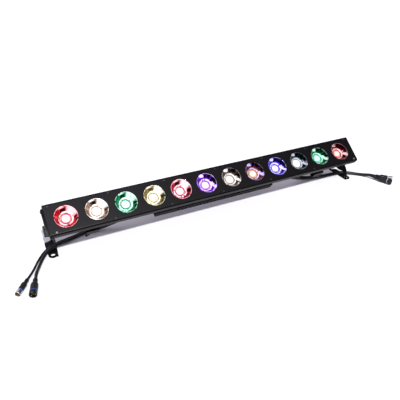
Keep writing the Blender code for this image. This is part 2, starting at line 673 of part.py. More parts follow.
def make_connectors():
    """Inline connectors on the cords' free ends, lying on the floor."""
    shapes = {
        "power": [(5, 0), (5.6, 14), (9.5, 20), (9.5, 26), (8.6, 27), (8.6, 44), (9.6, 45),
                  (9.6, 58)],
        "data": [(4, 0), (4.6, 14), (7.2, 18), (7.2, 24), (6.6, 25), (6.6, 50), (7.1, 51),
                 (7.1, 56)],
    }
    for name, (radius, route) in CORD_ROUTES.items():
        end = Vector(route[-1])
        heading = (end - Vector(route[-2])).normalized()
        level = Vector((heading.x, heading.y, 0)).normalized()
        kind = "power" if "power" in name else "data"
        steps = [(r * MM, along * MM) for r, along in shapes[kind]]
        bm = bmesh.new()
        turned(bm, steps, 14, (0, 0, 0), "x")
        turn = Matrix.Rotation(math.atan2(level.y, level.x), 4, "Z")
        bmesh.ops.transform(bm, matrix=turn, verts=bm.verts)
        start = end + level * GAP
        start.z = max(r for r, _ in steps) + 0.2 * MM
        finish_object(name.replace("cord", "connector"), bm, BLACK_PLASTIC, None, start,
                      smooth=True)


def main():
    clear_scene()
    housing = empty("housing_frame", (0, LENS_Y, LENS_HEIGHT), (-TILT, 0, 0))
    pivot = housing_to_world(0, PIVOT_DEPTH, PIVOT_UP)
    pivot_frames = {side: empty(f"pivot_frame_{side}", pivot) for side in (-1, 1)}
    make_front_panel(housing)
    make_face_screws(housing)
    make_lamps(housing)
    make_led_board(housing)
    make_rear_housing(housing)
    make_end_caps(housing)
    make_power_box(housing)
    make_electronics(housing)
    make_control_panel(housing)
    make_glands(housing)
    make_hangers(housing)
    make_clamp_levers(housing)
    make_brackets(pivot_frames)
    make_knobs(pivot_frames)
    make_cords()
    make_connectors()


main()
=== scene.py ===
import json
import math

import bmesh
import bpy
from mathutils import Matrix, Vector


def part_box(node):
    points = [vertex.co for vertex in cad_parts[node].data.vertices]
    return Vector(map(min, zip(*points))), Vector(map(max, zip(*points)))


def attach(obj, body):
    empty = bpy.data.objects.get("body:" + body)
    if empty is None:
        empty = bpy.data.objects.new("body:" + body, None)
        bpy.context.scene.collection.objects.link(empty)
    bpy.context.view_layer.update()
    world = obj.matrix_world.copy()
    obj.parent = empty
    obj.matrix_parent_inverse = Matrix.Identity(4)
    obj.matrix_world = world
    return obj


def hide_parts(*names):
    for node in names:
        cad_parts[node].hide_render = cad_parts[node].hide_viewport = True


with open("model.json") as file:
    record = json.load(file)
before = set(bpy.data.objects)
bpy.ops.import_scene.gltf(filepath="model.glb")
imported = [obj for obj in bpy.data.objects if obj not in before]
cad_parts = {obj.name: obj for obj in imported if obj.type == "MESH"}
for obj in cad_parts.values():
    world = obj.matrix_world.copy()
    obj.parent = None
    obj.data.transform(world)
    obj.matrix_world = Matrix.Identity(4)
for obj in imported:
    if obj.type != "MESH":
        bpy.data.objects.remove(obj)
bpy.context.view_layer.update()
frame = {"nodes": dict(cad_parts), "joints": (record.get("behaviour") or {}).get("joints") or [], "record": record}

MM = 0.001
GAP = 0.3 * MM                      # between a cord's end and its connector
TILT = math.radians(52)
LAMP_COUNT = 12
LAMP_PITCH = 82 * MM
LAMP_X = [(i - (LAMP_COUNT - 1) / 2) * LAMP_PITCH for i in range(LAMP_COUNT)]
UPWARD = Vector((0, 0, 1))
Z_TO_DEPTH = Matrix.Rotation(math.radians(-90), 4, "X")
SCREW_SPIN = 2.1                    # radians from one screw's cross to the next one's

# The housing's own frame: x along the bar, y the depth behind the lit face, z up the face. Its
# origin is the middle of the lamp row, found from a hanger's mount, whose local place is known.
HANGER_FACE = Vector((385 * MM, 82 * MM, 28 * MM))
TURN = Matrix.Rotation(-TILT, 4, "X")
MOUNTS = {mount["name"]: Vector(mount["pos_m"]) for mount in frame["record"]["mounts"]}
HOUSING = Matrix.Translation(MOUNTS["right_hanger_face"] - TURN @ HANGER_FACE) @ TURN
PIVOTS = {joint["child"].split("_")[0]: Vector(joint["pos_m"])
          for joint in frame["joints"] if joint["name"].endswith("bracket_tilt")}
SIDES = {"left": -1, "right": 1}


# --- camera --------------------------------------------------------------------------------
CAMERA_PLACE = (-0.60315, -1.11782, 0.78286)
CAMERA_FORWARD = (0.3802, 0.7714, -0.51028)
SENSOR_WIDTH, LENS = 36, 43.2       # mm


def make_camera():
    """At the picture's viewing angle: from the left, in front and above."""
    forward = Vector(CAMERA_FORWARD).normalized()
    right = forward.cross(UPWARD).normalized()
    up = right.cross(forward)
    data = bpy.data.cameras.new("camera")
    data.sensor_width = SENSOR_WIDTH
    data.lens = LENS
    data.clip_start, data.clip_end = 0.05, 50
    camera = bpy.data.objects.new("camera", data)
    rows = Matrix((right, up, -forward)).transposed().to_4x4()
    camera.matrix_world = Matrix.Translation(CAMERA_PLACE) @ rows
    bpy.context.scene.collection.objects.link(camera)
    bpy.context.scene.camera = camera


# --- node materials ------------------------------------------------------------------------
def feed(tree, slots, values):
    """Link the Signals among the values into a node's inputs, and set the numbers on theirs."""
    for slot, value in zip(slots, values):
        if isinstance(value, Signal):
            tree.links.new(value.socket, slot)
        else:
            slot.default_value = value


def socket_name(key):
    """The shader's spelling of an input: base_color is Base Color."""
    return key.replace("_", " ").title().replace("Ior", "IOR")


class Signal:
    """A number in a node tree. Arithmetic on it adds Math nodes."""

    def __init__(self, tree, socket):
        self.tree = tree
        self.socket = socket

    def math(self, operation, *others):
        made = self.tree.nodes.new("ShaderNodeMath")
        made.operation = operation
        feed(self.tree, made.inputs, (self, *others))
        return Signal(self.tree, made.outputs[0])

    def __add__(self, other):
        return self.math("ADD", other)

    def __sub__(self, other):
        return self.math("SUBTRACT", other)

    def __mul__(self, other):
        return self.math("MULTIPLY", other)

    def __truediv__(self, other):
        return self.math("DIVIDE", other)

    __radd__ = __add__

    def step(self, low, high, start=0.0, end=1.0):
        """Smooth step: start below low, end above high."""
        made = self.tree.nodes.new("ShaderNodeMapRange")
        made.interpolation_type = "SMOOTHSTEP"
        feed(self.tree, made.inputs, (self, low, high, start, end))
        return Signal(self.tree, made.outputs[0])


class Look:
    """One procedural material on the Principled shader."""

    def __init__(self, name, **fixed):
        self.material = bpy.data.materials.new(name)
        self.material.use_nodes = True
        self.tree = self.material.node_tree
        self.shader = self.tree.nodes["Principled BSDF"]
        for key, value in fixed.items():
            self.shader.inputs[socket_name(key)].default_value = value
        self.place = self.tree.nodes.new("ShaderNodeTexCoord").outputs["Object"]

    def parts(self):
        """The object coordinates as three Signals, in metres."""
        split = self.tree.nodes.new("ShaderNodeSeparateXYZ")
        self.tree.links.new(self.place, split.inputs[0])
        return [Signal(self.tree, socket) for socket in split.outputs]

    def vector(self, *parts):
        """Texture coordinates put together from Signals and numbers."""
        made = self.tree.nodes.new("ShaderNodeCombineXYZ")
        feed(self.tree, made.inputs, parts)
        return made.outputs[0]

    def stretched(self, scale, turn=(0, 0, 0)):
        """The object coordinates scaled by axis, for marks that run one way."""
        made = self.tree.nodes.new("ShaderNodeMapping")
        made.inputs["Scale"].default_value = scale
        made.inputs["Rotation"].default_value = turn
        self.tree.links.new(self.place, made.inputs["Vector"])
        return made.outputs[0]

    def noise(self, scale, detail=2.0, roughness=0.5, distortion=0.0, where=None):
        made = self.tree.nodes.new("ShaderNodeTexNoise")
        made.inputs["Scale"].default_value = scale
        made.inputs["Detail"].default_value = detail
        made.inputs["Roughness"].default_value = roughness
        made.inputs["Distortion"].default_value = distortion
        self.tree.links.new(where or self.place, made.inputs["Vector"])
        return Signal(self.tree, made.outputs["Fac"])

    def cells(self, scale, feature="F1"):
        made = self.tree.nodes.new("ShaderNodeTexVoronoi")
        made.feature = feature
        made.inputs["Scale"].default_value = scale
        self.tree.links.new(self.place, made.inputs["Vector"])
        return Signal(self.tree, made.outputs["Distance"])

    def mix(self, factor, first, second):
        """Colour between two colours, each a triple or a socket."""
        made = self.tree.nodes.new("ShaderNodeMix")
        made.data_type = "RGBA"
        self.tree.links.new(factor.socket, made.inputs[0])
        for slot, value in ((made.inputs[6], first), (made.inputs[7], second)):
            if isinstance(value, tuple):
                slot.default_value = (*value, 1.0)
            else:
                self.tree.links.new(value, slot)
        return made.outputs[2]

    def ramp(self, factor, stops):
        """Colours along a number, from (number, colour) stops."""
        made = self.tree.nodes.new("ShaderNodeValToRGB")
        points = made.color_ramp.elements
        while len(points) < len(stops):
            points.new(0.5)
        for point, (place, colour) in zip(points, stops):
            point.position = place
            point.color = (*colour, 1.0)
        self.tree.links.new(factor.socket, made.inputs[0])
        return made.outputs[0]

    def bump(self, height, distance):
        made = self.tree.nodes.new("ShaderNodeBump")
        made.inputs["Distance"].default_value = distance
        self.tree.links.new(height.socket, made.inputs["Height"])
        self.tree.links.new(made.outputs[0], self.shader.inputs["Normal"])

    def set(self, **sockets):
        """Link Signals or colour sockets into the shader."""
        for key, value in sockets.items():
            socket = value.socket if isinstance(value, Signal) else value
            self.tree.links.new(socket, self.shader.inputs[socket_name(key)])


def shade(colour, factor):
    return tuple(channel * factor for channel in colour)


# Texture scales are per metre.
def powder_coat(name, colour, roughness, grain, depth, scuffs, shine):
    """Fine orange-peel powder coat, slightly uneven, with faint dry scuffs."""
    look = Look(name, metallic=0.0, specular_ior_level=shine)
    cloud = look.noise(14, 3)
    grit = look.noise(grain, 3, 0.6)
    scuff = look.noise(90, 4, 0.65, 1.2, look.stretched((0.25, 1, 1), (0.3, 0.5, 0.8)))
    worn = scuff.step(0.66, 0.74) * scuffs
    tone = look.mix(cloud, shade(colour, 0.8), shade(colour, 1.25))
    speck = look.noise(grain * 1.7, 1).step(0.66, 0.75) * 0.45
    tone = look.mix(speck, tone, shade(colour, 2.4))
    look.set(base_color=look.mix(worn, tone, shade(colour, 2.6)),
             roughness=roughness + cloud * 0.08 - worn * 0.08)
    look.bump(grit + look.noise(260, 2) * 0.8, depth)
    return look.material


def anodised(name, colour):
    """Black anodised extrusion with fine die lines along the bar."""
    look = Look(name, metallic=0.2, specular_ior_level=0.04)
    lines = look.noise(1.0, 3, 0.6, 0, look.stretched((3, 900, 900)))
    cloud = look.noise(11, 3)
    tone = cloud * 0.6 + lines * 0.4
    look.set(base_color=look.mix(tone, shade(colour, 0.7), shade(colour, 1.5)),
             roughness=0.36 + lines * 0.16 + cloud * 0.08)
    look.bump(lines, 0.06 * MM)
    return look.material


def moulded(name, colour, roughness=0.42, grain=1500, depth=0.05 * MM):
    """Spark-textured moulded plastic."""
    look = Look(name, metallic=0.0, specular_ior_level=0.26)
    cloud = look.noise(35, 3)
    grit = look.noise(grain, 2, 0.6)
    look.set(base_color=look.mix(cloud, shade(colour, 0.8), shade(colour, 1.3)),
             roughness=roughness - 0.05 + grit * 0.12 + cloud * 0.05)
    look.bump(grit, depth)
    return look.material


def rubber(name, colour):
    """Cord jacket: smooth, slightly shiny, with faint lengthwise flow marks and dust."""
    look = Look(name, metallic=0.0, specular_ior_level=0.3, coat_weight=0.05, coat_roughness=0.25)
    flow = look.noise(1.0, 2, 0.5, 0.4, look.stretched((120, 700, 700)))
    dust = look.noise(60, 4, 0.7)
    look.set(base_color=look.mix(dust.step(0.5, 0.85), colour, shade(colour, 2.3)),
             roughness=0.34 + flow * 0.14 + dust * 0.08)
    look.bump(flow + look.noise(1800, 1) * 0.4, 0.05 * MM)
    return look.material


def plated(name, colour, roughness):
    """Plated or turned metal with hairline marks and slight tarnish."""
    look = Look(name, metallic=1.0)
    marks = look.noise(1.0, 3, 0.6, 0, look.stretched((300, 300, 2600)))
    cloud = look.noise(160, 3)
    look.set(base_color=look.mix(cloud, shade(colour, 0.78), colour),
             roughness=roughness + marks * 0.14 + cloud * 0.06)
    look.bump(marks, 0.02 * MM)
    return look.material


def solder_mask(name, board, track):
    """Circuit board: tracks and pads under a glossy solder mask."""
    look = Look(name, metallic=0.0, specular_ior_level=0.5)
    tracks = look.cells(240, "DISTANCE_TO_EDGE").step(0.05, 0.12)
    pads = look.cells(420).step(0.16, 0.22)
    weave = look.noise(900, 2)
    look.set(base_color=look.mix(pads, (0.62, 0.6, 0.5), look.mix(tracks, track, board)),
             roughness=0.28 + weave * 0.15)
    look.bump(tracks * 0.6 + weave * 0.4, 0.05 * MM)
    return look.material


def galvanised(name):
    """Zinc-coated sheet with its spangle."""
    look = Look(name, metallic=1.0)
    spangle = look.cells(170)
    grain = look.noise(700, 3)
    look.set(base_color=look.mix(spangle, (0.46, 0.47, 0.49), (0.74, 0.75, 0.77)),
             roughness=0.3 + spangle * 0.2 + grain * 0.08)
    look.bump(grain, 0.02 * MM)
    return look.material


def display_glass(name):
    """Dark tinted window, with a faint film of fingerprints."""
    look = Look(name, metallic=0.0, specular_ior_level=0.6, coat_weight=1.0, coat_roughness=0.04)
    film = look.noise(90, 4, 0.6, 0.8)
    look.set(base_color=look.mix(film, (0.008, 0.012, 0.02), (0.02, 0.028, 0.04)),
             roughness=0.06 + film * 0.1)
    return look.material


def floor_look():
    look = Look("studio_floor", metallic=0.0, specular_ior_level=0.1)
    mottle = look.noise(6, 4)
    look.set(base_color=look.mix(mottle, (0.8, 0.8, 0.81), (0.82, 0.82, 0.83)),
             roughness=0.75 + mottle * 0.1)
    return look.material


# --- mesh helpers --------------------------------------------------------------------------
def put(name, mesh, matrix, body, material, replaces=(), bevel=0.0, angle=35):
    """Place a mesh as a named piece that rides on a body."""
    if isinstance(mesh, bmesh.types.BMesh):
        bmesh.ops.recalc_face_normals(mesh, faces=mesh.faces)
        data = bpy.data.meshes.new(name)
        mesh.to_mesh(data)
        mesh.free()
        mesh = data
    if not mesh.materials:
        mesh.materials.append(material)
    mesh.shade_smooth()
    mesh.set_sharp_from_angle(angle=math.radians(angle))
    piece = bpy.data.objects.new(name, mesh)
    piece.matrix_world = matrix
    bpy.context.scene.collection.objects.link(piece)
    if bevel:
        rounding = piece.modifiers.new("rounded_edges", "BEVEL")
        rounding.width = bevel
        rounding.segments = 2
        rounding.limit_method = "ANGLE"
        rounding.angle_limit = math.radians(40)
        rounding.harden_normals = True
    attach(piece, body)
    if replaces:
        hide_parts(*replaces)
    return piece


def repaint_rear(piece, material, turned_away):
    """Second material for the faces that point further back than the given share of +Y."""
    piece.data.materials.append(material)
    for face in piece.data.polygons:
        if face.normal.y > turned_away:
            face.material_index = 1


def refined(node, name, body, material, bevel=0.4 * MM):
    """The CAD node's own shape with welded, rounded edges."""
    bm = bmesh.new()
    bm.from_mesh(frame["nodes"][node].data)
    bmesh.ops.remove_doubles(bm, verts=bm.verts, dist=0.005 * MM)
    bmesh.ops.dissolve_limit(bm, angle_limit=math.radians(0.6), verts=bm.verts, edges=bm.edges)
    return put(name, bm, Matrix.Identity(4), body, material, (node,), bevel)


def ring(radius, along, sides, lobes=0, waist=1.0):
    """Circle about z, drawn in between its lobes where it has any."""
    points = []
    for i in range(sides):
        angle = 2 * math.pi * i / sides
        reach = radius * (1 - (1 - waist) * (0.5 - 0.5 * math.cos(lobes * angle)))
        points.append(Vector((reach * math.cos(angle), reach * math.sin(angle), along)))
    return points


def skin(bm, rings, closed=False):
    """Faces between rings of points; the ends are capped unless the rings close on themselves."""
    rows = [[bm.verts.new(point) for point in points] for points in rings]
    pairs = list(zip(rows, rows[1:]))
    if closed:
        pairs.append((rows[-1], rows[0]))
    count = len(rows[0])
    for low, high in pairs:
        for i in range(count):
            j = (i + 1) % count
            bm.faces.new((low[i], low[j], high[j], high[i]))
    if not closed:
        bm.faces.new(rows[0])
        bm.faces.new(rows[-1])


def turned(profile, sides=48, closed=False):
    """Body turned about z from (radius, along) steps in millimetres, some with (lobes, waist)."""
    bm = bmesh.new()
    skin(bm, [ring(radius * MM, along * MM, sides, *lobed) for radius, along, *lobed in profile],
         closed)
    return bm


def repeated(steps, start, pitch, count):
    """Copies of a run of (radius, along) steps, one pitch apart."""
    return [(radius, start + i * pitch + along) for i in range(count) for radius, along in steps]


def fillet(profile, radius):
    """Round the inner corners of a (radius, along) profile."""
    steps = 3
    points = [Vector(point) for point in profile]
    made = [points[0]]
    for before, corner, after in zip(points, points[1:], points[2:]):
        into, out = before - corner, after - corner
        reach = min(radius, into.length * 0.45, out.length * 0.45)
        start = corner + into.normalized() * reach
        end = corner + out.normalized() * reach
        for i in range(steps + 1):
            t = i / steps
            made.append(start * (1 - t) ** 2 + corner * 2 * t * (1 - t) + end * t ** 2)
    made.append(points[-1])
    return [tuple(point) for point in made]


def outline_block(outline, low, high):
    """Extrude an (x, z) outline in millimetres along y."""
    bm = bmesh.new()
    skin(bm, [[Vector((x * MM, y * MM, z * MM)) for x, z in outline] for y in (low, high)])
    return bm


def rounded(x0, z0, x1, z1, radius, steps=4):
    """Rectangle with round corners, in millimetres, each corner in that many steps."""
    points = []
    corners = ((x1, z1, 0), (x0, z1, 90), (x0, z0, 180), (x1, z0, 270))
    for x, z, start in corners:
        cx = x - radius if start in (0, 270) else x + radius
        cz = z - radius if start in (0, 90) else z + radius
        for i in range(steps + 1):
            angle = math.radians(start + 90 * i / steps)
            points.append((cx + radius * math.cos(angle), cz + radius * math.sin(angle)))
    return points


def carved(bm, tools, operation="DIFFERENCE"):
    """The mesh of bm after exact Booleans with the tool meshes."""
    made = []
    for shape in [bm, *tools]:
        bmesh.ops.recalc_face_normals(shape, faces=shape.faces)
        data = bpy.data.meshes.new("shape")
        shape.to_mesh(data)
        shape.free()
        made.append(bpy.data.objects.new("shape", data))
        bpy.context.scene.collection.objects.link(made[-1])
    target = made[0]
    for tool in made[1:]:
        boolean = target.modifiers.new("tool", "BOOLEAN")
        boolean.operation = operation
        boolean.solver = "EXACT"
        boolean.object = tool
    graph = bpy.context.evaluated_depsgraph_get()
    mesh = bpy.data.meshes.new_from_object(target.evaluated_get(graph))
    for item in made:
        bpy.data.objects.remove(item, do_unlink=True)
    mesh.materials.clear()
    return mesh


def at(x, depth, up):
    """Place in the housing's frame, in millimetres."""
    return HOUSING @ Matrix.Translation((x * MM, depth * MM, up * MM))


def facing(matrix, direction):
    """Turn a placement so that its z axis points in a direction of its own frame."""
    turn = UPWARD.rotation_difference(Vector(direction)).to_matrix().to_4x4()
    return matrix @ turn


# --- looks ---------------------------------------------------------------------------------
PANEL_PAINT = {"colour": (0.0018, 0.0013, 0.0020), "roughness": 0.3, "grain": 1500,
               "depth": 0.012 * MM, "scuffs": 0.3}
LOOKS = {
    "panel": powder_coat("panel_powder_coat", shine=0.18, **PANEL_PAINT),
    "cup_back": moulded("cup_back_plastic", (0.02, 0.02, 0.022), 0.45),
    "panel_wall": powder_coat("panel_powder_coat_wall", shine=0.05, **PANEL_PAINT),
    "box": powder_coat("box_powder_coat", (0.004, 0.0038, 0.0046), roughness=0.42, grain=1100,
                       depth=0.03 * MM, scuffs=0.5, shine=0.03),
    "cap": powder_coat("cap_powder_coat", (0.0032, 0.003, 0.0036), roughness=0.3, grain=1300,
                       depth=0.025 * MM, scuffs=0.4, shine=0.1),
    "bracket": powder_coat("bracket_powder_coat", (0.0032, 0.0030, 0.0034), roughness=0.3,
                           grain=1000, depth=0.04 * MM, scuffs=0.6, shine=0.05),
    "sink": anodised("black_anodise", (0.006, 0.006, 0.0066)),
    "plastic": moulded("moulded_nylon", (0.006, 0.006, 0.0065)),
    "grip": moulded("soft_grip", (0.007, 0.007, 0.0075), 0.5, 900, 0.06 * MM),
    "button": moulded("button_cap", (0.05, 0.05, 0.055), 0.35),
    "connector": moulded("connector_shell", (0.006, 0.006, 0.0065), 0.38),
    "input_ring": moulded("blue_ring", (0.02, 0.09, 0.42), 0.36),
    "output_ring": moulded("grey_ring", (0.35, 0.35, 0.36), 0.36),
    "rubber": rubber("cord_jacket", (0.0036, 0.0034, 0.0040)),
    "steel": plated("zinc_plate", (0.22, 0.22, 0.23), 0.5),
    "black_screw": plated("black_oxide", (0.05, 0.05, 0.052), 0.34),
    "nickel": plated("nickel", (0.6, 0.58, 0.55), 0.2),
    "contact": plated("gold_contact", (0.83, 0.6, 0.25), 0.2),
    "led_board": solder_mask("white_solder_mask", (0.78, 0.78, 0.75), (0.7, 0.69, 0.64)),
    "board": solder_mask("green_solder_mask", (0.02, 0.13, 0.05), (0.05, 0.24, 0.1)),
    "chip": moulded("chip_package", (0.02, 0.02, 0.022), 0.5),
    "case": galvanised("galvanised_sheet"),
    "glass": display_glass("tinted_window"),
}


# --- cords ---------------------------------------------------------------------------------
CORDS = {
    "left_power": (4 * MM, 0.4189, [
        (-0.2323, 0.0088, 0.0446), (-0.2490, 0.0088, 0.0440), (-0.2655, 0.0110, 0.0412),
        (-0.2830, 0.0162, 0.0355), (-0.3010, 0.0232, 0.0275), (-0.3200, 0.0305, 0.0190),
        (-0.3400, 0.0365, 0.0115), (-0.3610, 0.0402, 0.0066), (-0.3830, 0.0412, 0.0044),
        (-0.4060, 0.0392, 0.0041), (-0.4300, 0.0312, 0.0043), (-0.4520, 0.0233, 0.0052),
        (-0.4720, 0.0165, 0.0064), (-0.4900, 0.0070, 0.0080), (-0.5070, -0.0055, 0.0093),
        (-0.5215, -0.0230, 0.0091), (-0.5350, -0.0440, 0.0066), (-0.5460, -0.0665, 0.0055),
        (-0.5545, -0.0900, 0.0096), (-0.5610, -0.1130, 0.0098),
    ]),
    "left_data": (3 * MM, 0.4278, [
        (-0.2323, 0.0254, 0.0576), (-0.2490, 0.0254, 0.0570), (-0.2655, 0.0265, 0.0540),
        (-0.2830, 0.0295, 0.0470), (-0.3010, 0.0340, 0.0370), (-0.3200, 0.0392, 0.0257),
        (-0.3400, 0.0440, 0.0155), (-0.3610, 0.0478, 0.0083), (-0.3830, 0.0490, 0.0045),
        (-0.4060, 0.0472, 0.0034), (-0.4300, 0.0394, 0.0038), (-0.4525, 0.0315, 0.0050),
        (-0.4730, 0.0245, 0.0066), (-0.4915, 0.0150, 0.0074), (-0.5100, 0.0040, 0.0072),
        (-0.5265, -0.0125, 0.0055), (-0.5415, -0.0340, 0.0038), (-0.5535, -0.0575, 0.0045),
        (-0.5650, -0.0810, 0.0072), (-0.5785, -0.1015, 0.0074),
    ]),
    "right_power": (4 * MM, 0.3937, [
        (0.2323, 0.0088, 0.0446), (0.2490, 0.0088, 0.0440), (0.2655, 0.0105, 0.0412),
        (0.2830, 0.0140, 0.0355), (0.3010, 0.0185, 0.0275), (0.3200, 0.0228, 0.0190),
        (0.3400, 0.0257, 0.0115), (0.3610, 0.0266, 0.0066), (0.3830, 0.0250, 0.0044),
        (0.4060, 0.0212, 0.0041), (0.4300, 0.0160, 0.0043), (0.4530, 0.0112, 0.0052),
        (0.4740, 0.0080, 0.0064), (0.4930, 0.0052, 0.0074), (0.5110, -0.0010, 0.0078),
        (0.5290, -0.0110, 0.0060), (0.5450, -0.0235, 0.0045), (0.5590, -0.0385, 0.0055),
        (0.5700, -0.0560, 0.0096), (0.5785, -0.0750, 0.0098),
    ]),
    "right_data": (3 * MM, 0.4051, [
        (0.2323, 0.0254, 0.0576), (0.2490, 0.0254, 0.0570), (0.2655, 0.0262, 0.0540),
        (0.2830, 0.0282, 0.0470), (0.3010, 0.0312, 0.0370), (0.3200, 0.0340, 0.0257),
        (0.3400, 0.0358, 0.0155), (0.3610, 0.0360, 0.0083), (0.3830, 0.0340, 0.0045),
        (0.4060, 0.0298, 0.0034), (0.4300, 0.0245, 0.0038), (0.4535, 0.0196, 0.0050),
        (0.4750, 0.0160, 0.0066), (0.4945, 0.0128, 0.0074), (0.5135, 0.0070, 0.0072),
        (0.5320, -0.0030, 0.0054), (0.5490, -0.0160, 0.0038), (0.5640, -0.0310, 0.0045),
        (0.5790, -0.0475, 0.0072), (0.5935, -0.0645, 0.0074),
    ]),
}


# The two kinds of connector: (radius, along) profiles in millimetres from the cord's end, and the
# contacts' reach from the axis, radius, foot and tip.
PIN_ANGLES = (90, 210, 330)
CONNECTORS = {
    "power": {
        "boot": [(5.0, 0), (5.2, 1),
                 *repeated(((5.9, 0), (5.9, 1.2), (5.2, 1.5), (5.2, 2.2)), 2, 2.4, 5),
                 (5.6, 14), (5.8, 14.6)],
        "body": fillet([(6.0, 14.6), (9.2, 20), (9.2, 24.5)], 1.5),
        "grip": [(9.0, 25.4, 12, 1.0), (9.3, 26.2, 12, 0.93), (9.2, 34, 12, 0.93),
                 (9.1, 42.6, 12, 0.94), (8.8, 43.4, 12, 1.0)],
        "shell": fillet([(8.8, 46), (9.5, 46.4), (9.5, 57.4), (8.9, 58), (7.8, 58), (7.8, 50),
                         (3.6, 50), (3.6, 55), (0.05, 55)], 0.5),
        "shell_look": "connector",
        "pin": (5.6, 1.0, 50, 56),
    },
    "data": {
        "boot": [(4.0, 0), (4.1, 1),
                 *repeated(((4.7, 0), (4.7, 1.1), (4.1, 1.4), (4.1, 2.1)), 2, 2.3, 5),
                 (4.6, 14), (4.8, 14.5)],
        "body": fillet([(5.0, 14.5), (7.0, 18), (7.0, 23)], 1.2),
        "grip": [(6.6, 24.2, 10, 1.0), (6.9, 25, 10, 0.94), (6.7, 38, 10, 0.94),
                 (6.5, 39, 10, 1.0)],
        "shell": fillet([(6.5, 41.6), (7.0, 42.4), (7.0, 55.4), (6.6, 56), (6.1, 56), (6.1, 45),
                         (0.05, 45)], 0.4),
        "shell_look": "nickel",
        "pin": (3.4, 0.8, 45, 54),
    },
}


def make_connector(name, route, kind):
    """Inline connector: ribbed boot, ridged grip, coloured ring, shell and contacts."""
    end = Vector(route[-1])
    heading = end - Vector(route[-2])
    heading.z = 0
    heading.normalize()
    start = end + heading * GAP
    low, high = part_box(name + "_connector")
    start.z = (low.z + high.z) / 2
    matrix = facing(Matrix.Translation(start), heading)
    shape = CONNECTORS[kind]
    grip, shell = shape["grip"], shape["shell"]
    cuff = shape["boot"] + shape["body"][1:]
    cuff.append((cuff[-1][0] - 0.4, cuff[-1][1] + 0.9))
    pieces = [put(name + "_boot", turned(cuff, 48), matrix, "housing", LOOKS["connector"],
                  (name + "_connector",), angle=28)]
    near, far = grip[0], grip[-1]
    ridged = [(near[0] - 0.6, near[1] - 0.1, 0, 1.0), *grip, (far[0] - 0.6, far[1] + 0.1, 0, 1.0)]
    pieces.append(put(name + "_grip", turned(ridged, 120), matrix, "housing", LOOKS["grip"]))
    radius, low_edge, high_edge = far[0], far[1] + 0.15, shell[0][1] - 0.15
    collar = fillet([(radius - 1, low_edge), (radius - 0.1, low_edge), (radius - 0.1, high_edge),
                     (radius - 1, high_edge)], 0.3)
    colour = LOOKS["input_ring"] if name.startswith("left") else LOOKS["output_ring"]
    pieces.append(put(name + "_ring", turned(collar, 64), matrix, "housing", colour))
    pieces.append(put(name + "_shell", turned(shell, 64), matrix, "housing",
                      LOOKS[shape["shell_look"]]))
    reach, radius, foot, tip = shape["pin"]
    profile = fillet([(radius, foot + 0.1), (radius, tip), (0.05, tip + 0.4)], 0.5)
    for number, angle in enumerate(PIN_ANGLES, start=1):
        offset = Vector((reach * math.cos(math.radians(angle)),
                         reach * math.sin(math.radians(angle)), 0)) * MM
        pieces.append(put(f"{name}_pin_{number}", turned(profile, 16),
                          matrix @ Matrix.Translation(offset), "housing", LOOKS["contact"]))
    return pieces


def make_cords():
    for name, (radius, length, route) in CORDS.items():
        curve = bpy.data.curves.new(name + "_jacket", "CURVE")
        curve.dimensions = "3D"
        curve.bevel_depth = radius
        curve.bevel_resolution = 5
        curve.resolution_u = 6
        curve.use_fill_caps = True
        spline = curve.splines.new("BEZIER")
        spline.bezier_points.add(len(route) - 1)
        for knot, place in zip(spline.bezier_points, route):
            knot.co = place
            knot.handle_left_type = knot.handle_right_type = "AUTO"
        curve.materials.append(LOOKS["rubber"])
        cord = bpy.data.objects.new(name + "_jacket", curve)
        bpy.context.scene.collection.objects.link(cord)
        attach(cord, "housing")
        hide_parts(name + "_cord")
        pieces = make_connector(name, route, name.split("_")[1])


# --- small repeated parts ------------------------------------------------------------------
def screw_mesh(radius, height, material, flat=False):
    """Pan or flat head with a cross recess, standing on z = 0."""
    rise = height * (0.35 if flat else 0.7)
    head = turned(fillet([(radius, -0.2), (radius, rise), (radius * 0.72, height),
                          (0.05, height)], radius * 0.25), 32)
    wings = []
    for turn in (0, 90):
        wing = bmesh.new()
        half, width = radius * 0.55, radius * 0.13
        rings = []
        for along, scale in ((height * 0.1, 0.55), (height * 1.6, 1.25)):
            rings.append([Vector((x * scale * MM, y * MM, along * MM)) for x, y in
                          ((-half, -width), (half, -width), (half, width), (-half, width))])
        skin(wing, rings)
        bmesh.ops.rotate(wing, matrix=Matrix.Rotation(math.radians(turn + 20), 3, "Z"),
                         verts=wing.verts)
        wings.append(wing)
    mesh = carved(head, wings)
    mesh.materials.append(material)
    return mesh


def screws(prefix, mesh, places):
    """A screw at each place, a matrix whose z axis points out of the surface."""
    for number, matrix in enumerate(places, start=1):
        spin = Matrix.Rotation(number * SCREW_SPIN, 4, "Z")
        put(f"{prefix}_{number}", mesh, matrix @ spin, "housing", None)


